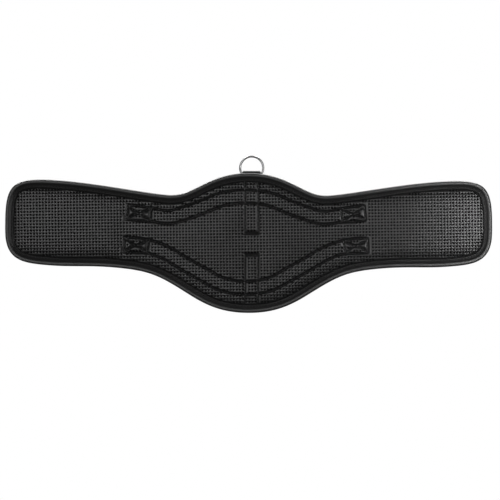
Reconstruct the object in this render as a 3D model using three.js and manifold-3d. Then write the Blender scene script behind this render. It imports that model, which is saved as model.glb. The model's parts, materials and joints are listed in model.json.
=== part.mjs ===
// A dressage saddle girth: a padded body with a perforated liner, webbing straps, a dee ring and four
// roller buckles.
// Millimetres. +X runs along the girth, +Z points to the dee ring edge, and the horse side faces -Y.
// The origin is the middle of the horse-side face, so the layers stack up from y = 0 towards +Y.
import * as THREE from "three";
import { mergeVertices } from "three/addons/utils/BufferGeometryUtils.js";
import Module from "manifold-3d";

// ---- Body outline, as heights (z) and half widths (x) of its named places ----
const CENTRE_TOP = 98;
const CENTRE_BOTTOM = -98;
const NECK_X = 107.5;
const NECK_TOP = 67;
const CORNER_X = 295;
const END_TOP = 88;
const HALF_LENGTH = 341.2;
const END_BOTTOM = -31.9;
const OUTLINE_STEPS = 7;

// ---- Layers, as [near, far] heights above the horse-side face ----
const LINER = [0, 2.8];
const CORE = [3, 7.8];
const SHELL = [8, 9.5];
const STRAP = [9.8, 11.8];
const CLEARANCE = 0.3;
const RUNNING_CLEARANCE = 0.25;

// ---- Edge binding, and how far the layers inside it stay from the rim ----
const BINDING = [1, 11.2];
const FRONT_LIP_WIDTH = 11.8;
const BACK_LIP_WIDTH = 7.8;
const BINDING_THICKNESS = 1.2;
const BINDING_ROLL = 2.4;
const LIP_THICKNESS = 1.35;
const CORE_INSET = BINDING_THICKNESS + 0.4;
const LINER_INSET = FRONT_LIP_WIDTH + 0.4;

// ---- Webbing straps ----
const WEBBING_WIDTH = 25;
const STRAPS_X = -3.5;
const STRAP_STEPS = 44;
const BOX_STITCH_REACH = 17.5;
const FRONT = {
  name: "front",
  centre: new THREE.Vector2(150, 41),
  tilt: THREE.MathUtils.degToRad(6),
  bend: [[0, 65.2], [33, 61.4], [58, 51.6], [84, 42.2], [108, 35.7]],
};
const REAR = {
  name: "rear",
  centre: new THREE.Vector2(154, -4.2),
  tilt: THREE.MathUtils.degToRad(4),
  bend: [[0, -63.2], [23, -60.6], [40, -55.2], [57, -45.7], [90, -27.2], [110, -15.2]],
};

// ---- Centre strap: heights along z of its ends, crossings and open loop ----
const CENTRE_STRAP_X = 4;
const CENTRE_STRAP_THICKNESS = 1.6;
const TUCKED_END = 79.5;
const FRONT_CROSSING = [82.8, 50.8];
const REAR_CROSSING = [-48.8, -77.8];
const CROSSING_RAMP = 4.5;
const SEWN_END = -86.8;
const LOOP = [14, -16.5];
const LOOP_BOW = 7.4;
const LOOP_STEPS = 12;
const ON_SHELL = SHELL[1] + CLEARANCE + CENTRE_STRAP_THICKNESS / 2;
const ON_STRAP = STRAP[1] + CLEARANCE + CENTRE_STRAP_THICKNESS / 2;
const ON_BINDING = BINDING[1] + CLEARANCE + CENTRE_STRAP_THICKNESS / 2;

// ---- Dee ring, whose bar lies in the centre strap's fold ----
const RING_WIRE = 1.5;
const RING_RADIUS = 16.2;
const RING_RISE = 7.1;
const RING_CORNER = 2.5;
const FOLD_RADIUS = RING_WIRE + RUNNING_CLEARANCE + CENTRE_STRAP_THICKNESS / 2;
const RING_BAR_Z = 98.4;
const RING_BAR_Y = ON_BINDING + FOLD_RADIUS;

// ---- Strap ends: distances along the strap from the middle of its box stitch ----
const ELASTIC_START = -17;
const ELASTIC_END = 88;
const ELASTIC_THICKNESS = 1.8;
const HEEL_BAR = 106;
const BUCKLE_LENGTH = 24;
const BUCKLE_WIDTH = 32;
const BUCKLE_CORNER = 3;
const BUCKLE_WIRE = 1.6;
const RUNNING_RADIUS = BUCKLE_WIRE + RUNNING_CLEARANCE;
const CHAPE_LENGTH = 38;
const CHAPE_THICKNESS = 1.3;
const CHAPE_GAP = ELASTIC_THICKNESS / 2 + RUNNING_CLEARANCE + CHAPE_THICKNESS / 2;
const CHAPE_SLOT_WIDTH = 6.4;
const CHAPE_SLOT_LENGTH = 13;
const BAR_Y = SHELL[1] + CLEARANCE + RUNNING_RADIUS + CHAPE_THICKNESS;
const ROLLER_RADIUS = 3;
const ROLLER_LENGTH = 24;
const ROLLER_CHAMFER = 0.4;
const TONGUE_WIDTH = 4.4;
const TONGUE_HALF_THICKNESS = 1.1;
const TONGUE_REACH = 27;
const TONGUE_TILT = Math.asin((ROLLER_RADIUS + CLEARANCE + TONGUE_HALF_THICKNESS) / BUCKLE_LENGTH);
const EYE_RADIUS = RUNNING_RADIUS + 1.25;

const manifold = await Module();
manifold.setup();

// ---- Materials ----
function cloth(color, roughness) {
  return new THREE.MeshStandardMaterial({ color, roughness, metalness: 0 });
}

function steel(color, roughness) {
  return new THREE.MeshStandardMaterial({ color, roughness, metalness: 1 });
}

// ---- Geometry helpers ----
const vector = ([x, y]) => new THREE.Vector2(x, y);

function arc(x, y, radius, from, to, steps) {
  return new THREE.EllipseCurve(x, y, radius, radius, from, to).getPoints(steps);
}

function withoutRepeats(points) {
  return points.filter((point, i) => point.distanceTo(points.at(i - 1)) > 1e-3);
}

// The unit vector to the left of the way from one point to the next.
function leftOf(from, to) {
  const way = to.clone().sub(from).normalize();
  return new THREE.Vector2(-way.y, way.x);
}

// Moves a line of points to its left by a distance, with mitred corners.
function offset(points, distance, closed) {
  const last = points.length - 1;
  return points.map((point, i) => {
    const before = closed || i > 0 ? leftOf(points.at(i - 1), point) : leftOf(point, points[1]);
    const after = closed || i < last ? leftOf(point, points[(i + 1) % points.length]) : before;
    const mitre = before.clone().add(after).normalize();
    return point.clone().addScaledVector(mitre, distance / mitre.dot(before));
  });
}

// The closed outline of a strip of one width that follows an open line of points.
function strip(line, width) {
  return [...offset(line, -width / 2, false), ...offset(line, width / 2, false).reverse()];
}

// A flat layer with an outline in the XZ plane that fills y from near to far.
function layer(outline, [near, far]) {
  const options = { depth: far - near, bevelEnabled: false };
  const geometry = new THREE.ExtrudeGeometry(new THREE.Shape(outline), options);
  return geometry.applyMatrix4(new THREE.Matrix4().set(1, 0, 0, 0, 0, 0, -1, far, 0, 1, 0, 0, 0, 0, 0, 1));
}

// A closed band: a section of [inset, y] points, carried all the way round a closed outline in the XZ plane.
function bandAround(outline, section) {
  const runAt = ([inset, y]) => offset(outline, inset, true).map((point) => [point.x, y, point.y]);
  const runs = section.map(runAt);
  const geometry = new THREE.TorusGeometry(2, 1, section.length, outline.length);
  const position = geometry.getAttribute("position");
  for (let j = 0; j <= section.length; j++) {
    for (let i = 0; i <= outline.length; i++) {
      position.setXYZ(j * (outline.length + 1) + i, ...runs[j % section.length][i % outline.length]);
    }
  }
  geometry.computeVertexNormals();
  return geometry;
}

// Round wire as an eight-sided section whose flats face the pad, the sky and both sides.
function wireSection(radius, y) {
  const corners = Array.from({ length: 8 }, (_, i) => ((i + 0.5) * Math.PI) / 4);
  return corners.map((turn) => [-radius * Math.cos(turn), y - radius * Math.sin(turn)]);
}

function solidOf(geometry) {
  const bare = geometry.clone();
  bare.deleteAttribute("normal");
  bare.deleteAttribute("uv");
  const merged = mergeVertices(bare, 1e-4);
  const vertProperties = merged.getAttribute("position").array;
  const triVerts = new Uint32Array(merged.index.array);
  return new manifold.Manifold(new manifold.Mesh({ numProp: 3, vertProperties, triVerts }));
}

function cut(geometry, tool) {
  const { vertProperties, triVerts } = solidOf(geometry).subtract(solidOf(tool)).getMesh();
  const result = new THREE.BufferGeometry();
  result.setAttribute("position", new THREE.BufferAttribute(vertProperties, 3));
  result.setIndex(new THREE.BufferAttribute(triVerts, 1));
  result.computeVertexNormals();
  return result;
}

function part(name, geometry, material) {
  const mesh = new THREE.Mesh(geometry, material);
  mesh.name = name;
  return mesh;
}

// ---- Padded body ----
// The right half of the body's edge, from the bottom middle round the end to the top middle.
function rightEdge() {
  const edge = new THREE.Path();
  edge.moveTo(0, CENTRE_BOTTOM);
  edge.bezierCurveTo(41, CENTRE_BOTTOM, 63, -85.3, 90, -68.2);
  edge.bezierCurveTo(125, -46.2, 139, -40.4, 174, -36.4);
  edge.bezierCurveTo(222, -31, 245, -35.3, 284, END_BOTTOM);
  edge.bezierCurveTo(316, -29.1, HALF_LENGTH, -26, HALF_LENGTH, 16);
  edge.lineTo(HALF_LENGTH, 27);
  edge.bezierCurveTo(HALF_LENGTH, 73.5, 334, END_TOP, CORNER_X, END_TOP);
  edge.bezierCurveTo(228, END_TOP, 138, NECK_TOP, NECK_X, NECK_TOP);
  edge.bezierCurveTo(76, NECK_TOP, 57.5, CENTRE_TOP, 0, CENTRE_TOP);
  return edge.getPoints(OUTLINE_STEPS);
}

function bodyOutline() {
  const right = rightEdge();
  const left = right.slice(1, -1).reverse();
  return [...right, ...left.map((point) => new THREE.Vector2(-point.x, point.y))];
}

function panel(inset, depth) {
  return layer(offset(bodyOutline(), inset, true), depth);
}

// A folded tape: a rounded outer edge with a lip on each face, open towards the layers that it holds.
function edgeBinding() {
  const [front, back] = BINDING;
  const corner = (y, from) => arc(BINDING_ROLL, y, BINDING_ROLL, from, from + Math.PI / 2, 2);
  const section = [
    ...corner(front + BINDING_ROLL, Math.PI).map(({ x, y }) => [x, y]),
    [FRONT_LIP_WIDTH, front],
    [FRONT_LIP_WIDTH, front + LIP_THICKNESS],
    [BINDING_THICKNESS, front + LIP_THICKNESS],
    [BINDING_THICKNESS, back - LIP_THICKNESS],
    [BACK_LIP_WIDTH, back - LIP_THICKNESS],
    [BACK_LIP_WIDTH, back],
    ...corner(back - BINDING_ROLL, Math.PI / 2).map(({ x, y }) => [x, y]),
  ];
  return bandAround(bodyOutline(), section);
}

// ---- Webbing ----
// One long strap: bent over the middle of the body, and straight where each end is box stitched.
function longStrap({ centre, tilt, bend }) {
  const reach = new THREE.Vector2(Math.cos(tilt), Math.sin(tilt)).multiplyScalar(BOX_STITCH_REACH);
  const right = [...bend.map(vector), centre.clone().sub(reach), centre.clone().add(reach)];
  const left = right.slice(1).reverse();
  const points = [...left.map((point) => new THREE.Vector2(-point.x, point.y)), ...right];
  const line = new THREE.SplineCurve(points).getSpacedPoints(STRAP_STEPS);
  return layer(strip(line, WEBBING_WIDTH), STRAP).translate(STRAPS_X, 0, 0);
}

// The side view of the centre strap, in y and z: from its tucked-in end up to the dee ring's bar, round it,
// down over the front strap, out in an open loop, and down over the rear strap.
function centreStrapLine() {
  const fold = arc(RING_BAR_Y, RING_BAR_Z, FOLD_RADIUS, 0, Math.PI, 9).reverse();
  const [frontStart, frontEnd] = FRONT_CROSSING;
  const [rearStart, rearEnd] = REAR_CROSSING;
  const loop = Array.from({ length: LOOP_STEPS + 1 }, (_, i) => {
    const bow = LOOP_BOW * Math.sin((Math.PI * i) / LOOP_STEPS) ** 2;
    return [ON_SHELL + bow, THREE.MathUtils.lerp(...LOOP, i / LOOP_STEPS)];
  });
  const tuckedEnd = [
    [ON_SHELL, TUCKED_END],
    [ON_SHELL, TUCKED_END + 5],
    [ON_BINDING, RING_BAR_Z - 10.3],
  ];
  const down = [
    [RING_BAR_Y + FOLD_RADIUS, RING_BAR_Z - 1.8],
    [ON_BINDING + 2.2, RING_BAR_Z - 9.4],
    [ON_STRAP, frontStart],
    [ON_STRAP, frontEnd],
    [ON_SHELL, frontEnd - CROSSING_RAMP],
    ...loop,
    [ON_SHELL, rearStart + CROSSING_RAMP],
    [ON_STRAP, rearStart],
    [ON_STRAP, rearEnd],
    [ON_SHELL, rearEnd - CROSSING_RAMP],
    [ON_SHELL, SEWN_END],
  ];
  return [...tuckedEnd.map(vector), ...fold, ...down.map(vector)];
}

function centreStrap() {
  const shape = new THREE.Shape(strip(centreStrapLine(), CENTRE_STRAP_THICKNESS));
  const geometry = new THREE.ExtrudeGeometry(shape, { depth: WEBBING_WIDTH, bevelEnabled: false });
  const start = CENTRE_STRAP_X - WEBBING_WIDTH / 2;
  return geometry.applyMatrix4(new THREE.Matrix4().set(0, 0, 1, start, 1, 0, 0, 0, 0, 1, 0, 0, 0, 0, 0, 1));
}

// A round wire ring whose bottom is a straight bar with small round corners.
function deeRing() {
  const reach = Math.sqrt((RING_RADIUS - RING_CORNER) ** 2 - (RING_RISE - RING_CORNER) ** 2);
  const side = Math.atan2(RING_CORNER - RING_RISE, reach);
  const outline = withoutRepeats([
    ...arc(reach, RING_CORNER, RING_CORNER, -Math.PI / 2, side, 3),
    ...arc(0, RING_RISE, RING_RADIUS, side, Math.PI - side, 21),
    ...arc(-reach, RING_CORNER, RING_CORNER, Math.PI - side, 1.5 * Math.PI, 3),
  ]);
  return bandAround(outline, wireSection(RING_WIRE, 0)).translate(CENTRE_STRAP_X, RING_BAR_Y, RING_BAR_Z);
}

// ---- Strap ends, drawn along +X with the heel bar's axis at the origin of x and y ----
function elastic() {
  const length = ELASTIC_END - ELASTIC_START;
  const geometry = new THREE.BoxGeometry(length, ELASTIC_THICKNESS, WEBBING_WIDTH);
  return geometry.translate((ELASTIC_START + ELASTIC_END) / 2, 0, 0);
}

// A webbing end folded round the heel bar, with a slot that lets the tongue through.
function chape() {
  const radius = RUNNING_RADIUS + CHAPE_THICKNESS / 2;
  const grip = THREE.MathUtils.degToRad(110);
  const line = [
    new THREE.Vector2(-CHAPE_LENGTH, -CHAPE_GAP),
    new THREE.Vector2(-6, -CHAPE_GAP),
    ...arc(0, 0, radius, -grip, grip, 10),
    new THREE.Vector2(-6, CHAPE_GAP),
    new THREE.Vector2(-CHAPE_LENGTH, CHAPE_GAP),
  ];
  const shape = new THREE.Shape(strip(line, CHAPE_THICKNESS));
  const fold = new THREE.ExtrudeGeometry(shape, { depth: WEBBING_WIDTH, bevelEnabled: false });
  const slot = new THREE.BoxGeometry(2 * CHAPE_SLOT_LENGTH, 4 * radius, CHAPE_SLOT_WIDTH);
  return cut(fold.translate(0, 0, -WEBBING_WIDTH / 2), slot);
}

function buckleFrame() {
  const across = BUCKLE_WIDTH / 2 - BUCKLE_CORNER;
  const near = BUCKLE_CORNER;
  const far = BUCKLE_LENGTH - BUCKLE_CORNER;
  const quarter = Math.PI / 2;
  const outline = withoutRepeats([
    ...arc(far, across, BUCKLE_CORNER, 0, quarter, 3),
    ...arc(near, across, BUCKLE_CORNER, quarter, 2 * quarter, 3),
    ...arc(near, -across, BUCKLE_CORNER, 2 * quarter, 3 * quarter, 3),
    ...arc(far, -across, BUCKLE_CORNER, 3 * quarter, 4 * quarter, 3),
  ]);
  return bandAround(outline, wireSection(BUCKLE_WIRE, 0));
}

// A straight tongue with a round eye for the heel bar, leaning up so that it rests on the roller.
function buckleTongue() {
  const root = Math.asin(TONGUE_HALF_THICKNESS / EYE_RADIUS);
  const tip = TONGUE_REACH - TONGUE_HALF_THICKNESS;
  const shape = new THREE.Shape([
    ...arc(0, 0, EYE_RADIUS, root, 2 * Math.PI - root, 12),
    ...arc(tip, 0, TONGUE_HALF_THICKNESS, -Math.PI / 2, Math.PI / 2, 4),
  ]);
  shape.holes.push(new THREE.Path(arc(0, 0, RUNNING_RADIUS, 0, 2 * Math.PI, 12).slice(1)));
  const geometry = new THREE.ExtrudeGeometry(shape, { depth: TONGUE_WIDTH, bevelEnabled: false });
  return geometry.translate(0, 0, -TONGUE_WIDTH / 2).rotateZ(TONGUE_TILT);
}

function buckleRoller() {
  const half = ROLLER_LENGTH / 2;
  const wall = [
    [RUNNING_RADIUS, -half],
    [ROLLER_RADIUS - ROLLER_CHAMFER, -half],
    [ROLLER_RADIUS, ROLLER_CHAMFER - half],
    [ROLLER_RADIUS, half - ROLLER_CHAMFER],
    [ROLLER_RADIUS - ROLLER_CHAMFER, half],
    [RUNNING_RADIUS, half],
    [RUNNING_RADIUS, -half],
  ];
  return new THREE.LatheGeometry(wall.map(vector), 12).rotateX(Math.PI / 2);
}

// One elastic with its buckle. side is 1 for the right end of the girth and -1 for the left one.
function strapEnd(strap, side) {
  const name = (piece) => `${side > 0 ? "right" : "left"}_${strap.name}_${piece}`;
  const end = new THREE.Group();
  end.position.set(STRAPS_X + side * strap.centre.x, BAR_Y, strap.centre.y);
  end.rotation.y = side > 0 ? -strap.tilt : strap.tilt - Math.PI;
  const buckle = new THREE.Group();
  buckle.position.x = HEEL_BAR;
  const roller = part(name("roller"), buckleRoller(), steel(0xc4c6c9, 0.3));
  roller.position.x = BUCKLE_LENGTH;
  buckle.add(
    part(name("chape"), chape(), cloth(0x151516, 0.85)),
    part(name("buckle_frame"), buckleFrame(), steel(0xbfc1c4, 0.25)),
    part(name("buckle_tongue"), buckleTongue(), steel(0xc2c4c7, 0.28)),
    roller,
  );
  end.add(part(name("elastic"), elastic(), cloth(0x1b1b1d, 0.8)), buckle);
  return end;
}

// ---- The girth ----
const girth = new THREE.Group();
girth.add(
  part("liner_panel", panel(LINER_INSET, LINER), cloth(0x2c2c2d, 0.6)),
  part("foam_core", panel(CORE_INSET, CORE), cloth(0x3a3a3a, 0.95)),
  part("outer_shell", panel(CORE_INSET, SHELL), cloth(0x18181a, 0.8)),
  part("edge_binding", edgeBinding(), cloth(0x222223, 0.55)),
  part("front_strap", longStrap(FRONT), cloth(0x161617, 0.82)),
  part("rear_strap", longStrap(REAR), cloth(0x161617, 0.82)),
  part("centre_strap", centreStrap(), cloth(0x151516, 0.82)),
  part("dee_ring", deeRing(), steel(0xa9abad, 0.3)),
);
for (const strap of [FRONT, REAR]) {
  for (const side of [-1, 1]) {
    girth.add(strapEnd(strap, side));
  }
}

export default girth;
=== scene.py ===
"""The looks of a dressage saddle girth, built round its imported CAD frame.

Metres, in the frame's own axes: +X along the girth, +Z to the dee ring edge, and the horse side faces -Y.
"""
import json
import math

import bmesh
import bpy
import numpy as np
from mathutils import Matrix, Vector
from mathutils.bvhtree import BVHTree
from mathutils.geometry import delaunay_2d_cdt
from mathutils.kdtree import KDTree

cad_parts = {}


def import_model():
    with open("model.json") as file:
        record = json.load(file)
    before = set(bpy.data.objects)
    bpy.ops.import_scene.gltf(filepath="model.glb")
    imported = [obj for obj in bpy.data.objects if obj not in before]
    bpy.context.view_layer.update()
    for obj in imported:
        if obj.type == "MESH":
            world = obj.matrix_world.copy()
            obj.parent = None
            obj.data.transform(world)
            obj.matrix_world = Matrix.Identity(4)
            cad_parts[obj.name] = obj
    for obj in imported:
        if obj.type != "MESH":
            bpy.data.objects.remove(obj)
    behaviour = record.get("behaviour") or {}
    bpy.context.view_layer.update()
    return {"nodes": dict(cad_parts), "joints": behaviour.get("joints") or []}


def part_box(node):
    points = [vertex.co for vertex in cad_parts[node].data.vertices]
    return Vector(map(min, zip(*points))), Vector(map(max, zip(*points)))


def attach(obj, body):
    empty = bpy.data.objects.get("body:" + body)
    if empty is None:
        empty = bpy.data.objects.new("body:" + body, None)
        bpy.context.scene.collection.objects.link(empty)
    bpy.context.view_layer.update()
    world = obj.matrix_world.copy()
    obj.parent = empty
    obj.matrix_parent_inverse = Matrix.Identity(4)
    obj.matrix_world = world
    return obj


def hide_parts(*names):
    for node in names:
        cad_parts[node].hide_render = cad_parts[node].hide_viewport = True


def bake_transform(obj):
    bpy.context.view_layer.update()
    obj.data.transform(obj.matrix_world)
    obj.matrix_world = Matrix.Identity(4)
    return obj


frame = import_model()

MM = 0.001
BODY = "girth"
ALONG = np.array([1.0, 0.0, 0.0])
OUT = np.array([0.0, 1.0, 0.0])
IN = -OUT
ACROSS = np.array([0.0, 0.0, 1.0])
STRAP_END_NAMES = ["left_front", "left_rear", "right_front", "right_rear"]

# ---- Sizes of what the CAD leaves plain ----
# The perforations: a square grid of pits, each narrower at its floor, on a rim that sinks a little.
HOLE_PITCH = 4.35 * MM
HOLE_RADIUS = 1.6 * MM
HOLE_FLOOR_RADIUS = 1.38 * MM
HOLE_DEPTH = 0.85 * MM
HOLE_SINK = 0.45 * MM
HOLE_SIDES = 8
HOLE_SLANT = math.radians(1)
HOLE_MARGIN = 0.5 * MM
BOX_HOLE_MARGIN = 1.5 * MM
BOX_END_HOLE_MARGIN = 2.6 * MM

# The liner's section: its tuck under the binding, the level of its seams, and how far it puffs out.
BINDING_WIDTH = 11.8 * MM
LINER_TUCK = 11.1 * MM
LINER_THICKNESS = 2.0 * MM
LINER_BACK = 3.0 * MM
SEAM_LEVEL = 1.5 * MM
TUCK_DIP = 1.2 * MM
TUCK_WIDTH = 2.2 * MM
PUFF_FRONT = 2.7 * MM
PUFF_BACK = 1.3 * MM
GROOVE_DEPTH = 1.7 * MM
GROOVE_WIDTH = 2.05 * MM
PILLOW_DEPTH = 0.55 * MM
PILLOW_WIDTH = 3.2 * MM
ROLL_RISE = 1.3 * MM
ROLL_WIDTH = 15 * MM
SEAM_RAILS = (0.6 * MM, 1.3 * MM, 2.1 * MM)
RIM_RAILS = (0.8 * MM, 1.7 * MM)

# Seams and stitches. A strap's two rows run ROW_OFFSET from its middle, and BOX_FLARE more in its boxes.
ROW_OFFSET = 9.2 * MM
BOX_FLARE = 1.2 * MM
BOX_LENGTH = 33 * MM
BOX_MARGIN = 1.0 * MM
BOX_BOW = 1.45
LOOP_TOP = 14 * MM
LOOP_BOTTOM = -16.5 * MM
SEAM_STEP = 1.6 * MM
CLOTH_STEP = 4.5 * MM
STITCH_PITCH = 4.3 * MM
STITCH_LENGTH = 3.3 * MM
TACK_PITCH = 1.5 * MM
TACK_LENGTH = 1.9 * MM
THREAD_RADIUS = 0.34 * MM

# Webbing and hardware.
WEBBING_WIDTH = 25 * MM
CENTRE_STRAP_THICKNESS = 1.6 * MM
BAR_TO_BOX = 106 * MM
CHAPE_LENGTH = 38 * MM
BUCKLE_HALF_WIDTH = 16 * MM
BUCKLE_CORNER = 3 * MM
BUCKLE_WIRE = 1.6 * MM
RING_CORNER = 2.5 * MM


# ---- Reading the frame ----
def cap_loop(node, axis, pick):
    """The outline of a slab node's flat face at its lowest or highest place along an axis, in order."""
    mesh = frame["nodes"][node].data
    corners = np.array([v.co for v in mesh.vertices])
    plane = pick(corners[:, axis])
    flat = [k for k in range(3) if k != axis]
    keys = [tuple(c) for c in np.round(corners[:, flat], 6)]
    edges = set()
    for face in mesh.polygons:
        if all(abs(corners[v][axis] - plane) < 1e-6 for v in face.vertices):
            ring = [keys[v] for v in face.vertices]
            edges.update(zip(ring, ring[1:] + ring[:1]))
    following = {a: b for a, b in edges if (b, a) not in edges}
    loop = [min(following)]
    while following[loop[-1]] != loop[0]:
        loop.append(following[loop[-1]])
    return np.array(loop)


def middle_line(loop, end):
    """The centre line of a strip whose outline has one of its end edges just before point number end."""
    turned = np.roll(loop, -end, axis=0)
    half = len(turned) // 2
    left, right = turned[:half], turned[::-1][:half]
    return (left + right) / 2


def joint(name):
    return next(j for j in frame["joints"] if j["name"] == name)


def joint_place(name):
    return Vector(joint(name)["pos_m"])


def size_between(outer, inner):
    """How far one node reaches past another along X."""
    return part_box(outer)[1].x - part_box(inner)[1].x


def looped(loop):
    """A closed outline as a line that ends where it starts."""
    return np.vstack([loop, loop[:1]])


# ---- Lines, mostly in the plane of x and z ----
def lift(points, heights):
    """Points of the plane as 3-D points, at one y or at one for each of them."""
    return np.stack([points[:, 0], np.broadcast_to(heights, len(points)), points[:, 1]], axis=1)


def lengths_along(points):
    steps = np.linalg.norm(np.diff(points, axis=0), axis=1)
    return np.concatenate([[0], np.cumsum(steps)])


def read_at(rows, along, at):
    """Rows of numbers, interpolated at one or more lengths along their line."""
    return np.stack([np.interp(at, along, column) for column in rows.T], axis=-1)


def spaced(points, step, closed=False):
    """Evenly spaced points on a line, about step apart."""
    line = looped(points) if closed else points
    along = lengths_along(line)
    count = max(1, round(along[-1] / step))
    made = read_at(line, along, np.linspace(0, along[-1], count + 1))
    return made[:-1] if closed else made


def curve_through(points, step, closed=False):
    """Evenly spaced points on the smooth curve through the given ones."""
    p = np.asarray(points, float)
    if closed:
        p = np.vstack([p[-2:], p, p[:3]])
    t = lengths_along(p)
    slope = np.gradient(p, t, axis=0)
    first, last = (2, len(p) - 3) if closed else (0, len(p) - 1)
    u = np.linspace(0, 1, 10, endpoint=False)[:, None]
    pieces = []
    for k in range(first, last):
        h = t[k + 1] - t[k]
        pieces.append(
            p[k] * (2 * u**3 - 3 * u**2 + 1)
            + h * slope[k] * (u**3 - 2 * u**2 + u)
            + p[k + 1] * (3 * u**2 - 2 * u**3)
            + h * slope[k + 1] * (u**3 - u**2)
        )
    pieces.append(p[last : last + 1])
    fine = np.vstack(pieces)
    return spaced(fine[:-1] if closed else fine, step, closed)


def softened(points, step, passes):
    """Evenly spaced points on a line whose corners are rounded a little."""
    line = spaced(points, step)
    for _ in range(passes):
        line[1:-1] = (line[:-2] + 2 * line[1:-1] + line[2:]) / 4
    return line


def tangents(points, closed=False):
    if closed:
        way = np.roll(points, -1, axis=0) - np.roll(points, 1, axis=0)
    else:
        way = np.gradient(points, axis=0)
    return way / np.linalg.norm(way, axis=1)[:, None]


def shifted(points, distance, closed=False):
    """The line moved to its left in the plane by a distance, or by one distance for each point."""
    way = tangents(points, closed)
    left = np.stack([-way[:, 1], way[:, 0]], axis=1)
    return points + left * np.broadcast_to(distance, len(points))[:, None]


def counter_clockwise(loop):
    x, z = loop.T
    area = np.sum(x * np.roll(z, -1) - np.roll(x, -1) * z)
    return loop if area > 0 else loop[::-1]


def inside(points, loop):
    """Which points lie inside a closed outline."""
    found = np.zeros(len(points), bool)
    for a, b in zip(loop, np.roll(loop, -1, axis=0)):
        crosses = (a[1] > points[:, 1]) != (b[1] > points[:, 1])
        rise = b[1] - a[1] if b[1] != a[1] else 1.0
        found ^= crosses & (points[:, 0] < (b[0] - a[0]) * (points[:, 1] - a[1]) / rise + a[0])
    return found


def smooth_step(value, low, high):
    t = np.clip((value - low) / (high - low), 0, 1)
    return t * t * (3 - 2 * t)


class Nearness:
    """How far points lie from a set of lines."""

    def __init__(self, lines, step=0.5 * MM):
        found = np.vstack([spaced(np.asarray(line), step) for line in lines])
        self.tree = KDTree(len(found))
        for i, (x, z) in enumerate(found):
            self.tree.insert((x, z, 0), i)
        self.tree.balance()

    def __call__(self, points):
        return np.array([self.tree.find((x, z, 0))[2] for x, z in points])


# ---- Meshes ----
def mesh_object(name, points, faces, material, uvs=None, smooth=True):
    mesh = bpy.data.meshes.new(name)
    mesh.from_pydata([tuple(map(float, p)) for p in points], [], [tuple(map(int, f)) for f in faces])
    if uvs is not None:
        layer = mesh.uv_layers.new(name="along")
        layer.data.foreach_set("uv", np.asarray(uvs, np.float32).ravel())
    bm = bmesh.new()
    bm.from_mesh(mesh)
    bmesh.ops.recalc_face_normals(bm, faces=bm.faces)
    bm.to_mesh(mesh)
    bm.free()
    mesh.polygons.foreach_set("use_smooth", [smooth] * len(mesh.polygons))
    mesh.materials.append(material)
    obj = bpy.data.objects.new(name, mesh)
    bpy.context.scene.collection.objects.link(obj)
    return obj


def sweep(grid, closed=False):
    """Points, faces and corner UVs, in metres, of a skin over rows of points that each go once round."""
    rows, around, _ = grid.shape
    along = lengths_along(looped(grid[:, 0]) if closed else grid[:, 0])
    ring = lengths_along(looped(grid[0]))
    faces, uvs = [], []
    for i in range(rows if closed else rows - 1):
        for j in range(around):
            i2, j2 = (i + 1) % rows, (j + 1) % around
            faces.append((i * around + j, i2 * around + j, i2 * around + j2, i * around + j2))
            uvs += [(along[a], ring[b]) for a, b in ((i, j), (i + 1, j), (i + 1, j + 1), (i, j + 1))]
    if not closed:
        for i in (0, rows - 1):
            faces.append(tuple(i * around + j for j in range(around)))
            uvs += [(along[i], ring[j]) for j in range(around)]
    return grid.reshape(-1, 3), faces, uvs


def merged(parts):
    """One set of points, faces and UVs out of several."""
    points, faces, uvs, start = [], [], [], 0
    for part_points, part_faces, part_uvs in parts:
        points.append(part_points)
        faces += [tuple(start + v for v in face) for face in part_faces]
        uvs += part_uvs
        start += len(part_points)
    return np.vstack(points), faces, uvs


def skinned(name, skin, material, matrix=None):
    """An object from a sweep's points, faces and UVs, moved by a matrix if there is one."""
    points, faces, uvs = skin
    made = mesh_object(name, points, faces, material, uvs)
    if matrix is not None:
        made.data.transform(matrix)
    return made


def settle(piece, body, node):
    """Puts a piece on a body, in place of a plain CAD node, which it hides."""
    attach(piece, body)
    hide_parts(node)


def flat_section(width, thickness, corner, across=10, rib=0.0, ribs=0):
    """A strip's section as (across, up): flat faces, rounded edges and, if asked, ribs along it."""
    reach = width / 2 - corner
    flat = np.linspace(-reach, reach, across * max(1, ribs) + 1)
    height = thickness / 2 + rib * np.cos(2 * np.pi * ribs * flat / width)
    turn = np.linspace(np.pi / 2, -np.pi / 2, 5)[1:-1]
    right = [(reach + corner * math.cos(a), thickness / 2 * math.sin(a)) for a in turn]
    top = list(zip(flat, height))
    bottom = [(-x, -y) for x, y in top]
    left = [(-x, -y) for x, y in right]
    return np.array(top + right + bottom + left)


def strip(line, across, section):
    """A strap: a section carried along a 3-D line, with its width along the across vectors."""
    way = tangents(line)
    across = np.broadcast_to(across, line.shape)
    up = np.cross(across, way)
    up /= np.linalg.norm(up, axis=1)[:, None]
    grid = line[:, None] + section[None, :, :1] * across[:, None] + section[None, :, 1:] * up[:, None]
    return sweep(grid)


def circle(radius, sides, first=0.0):
    """Points round a circle. The first one is that share of a side past the start."""
    turn = (np.arange(sides) + first) * 2 * np.pi / sides
    return radius * np.stack([np.cos(turn), np.sin(turn)], axis=1)


def closed_tube(loop, normal, section):
    """A section carried round a flat closed 3-D loop."""
    way = tangents(loop, closed=True)
    side = np.cross(way, normal)
    grid = loop[:, None] + section[None, :, :1] * side[:, None] + section[None, :, 1:] * np.asarray(normal)
    return sweep(grid, closed=True)


def arc(x, y, radius, start, end, steps):
    turn = np.radians(np.linspace(start, end, steps + 1))
    return np.stack([x + radius * np.cos(turn), y + radius * np.sin(turn)], axis=1)


SAME_POINT = 1e-7


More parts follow.
